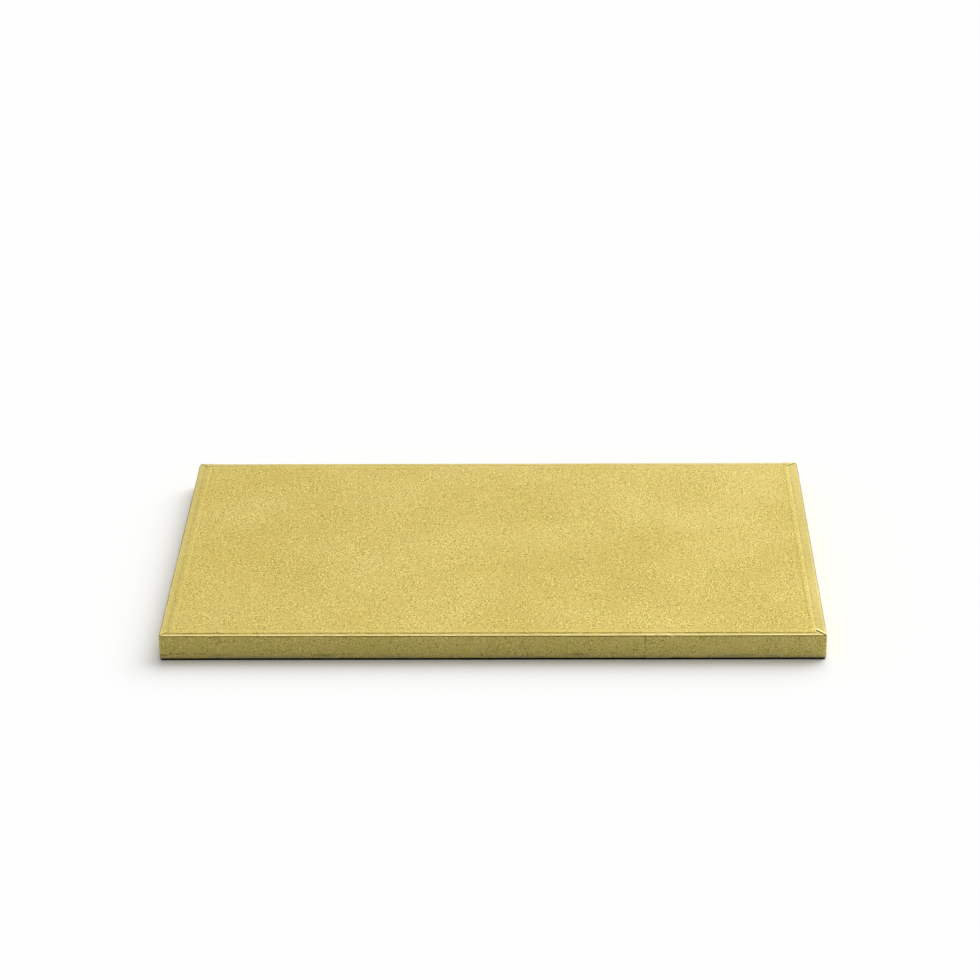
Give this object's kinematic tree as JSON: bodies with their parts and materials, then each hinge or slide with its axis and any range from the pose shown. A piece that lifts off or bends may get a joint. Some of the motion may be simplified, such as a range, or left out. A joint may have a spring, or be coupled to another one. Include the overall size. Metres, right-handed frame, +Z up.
{
  "type": "cake board",
  "caption": "Flat rectangular cake board: a stiff pulp board core wrapped in gold foil paper, with a flat foil sheet on top and backing paper beneath, to carry a cake.",
  "frame": {"origin": "middle of the underside, where the board rests", "axes": "+X along the long side, +Y from the front side (with the strip's lap) to the back, +Z up out of the cake side"},
  "size_m": [0.3, 0.2002, 0.012],
  "materials": {
    "pulp_board": "matte",
    "gold_strip": "satin",
    "gold_sheet": "satin",
    "backing_paper": "matte"
  },
  "bodies": {
    "root": {"core_board": "pulp_board", "edge_strip": "gold_strip", "top_sheet": "gold_sheet", "base_sheet": "backing_paper"}
  },
  "joints": []
}
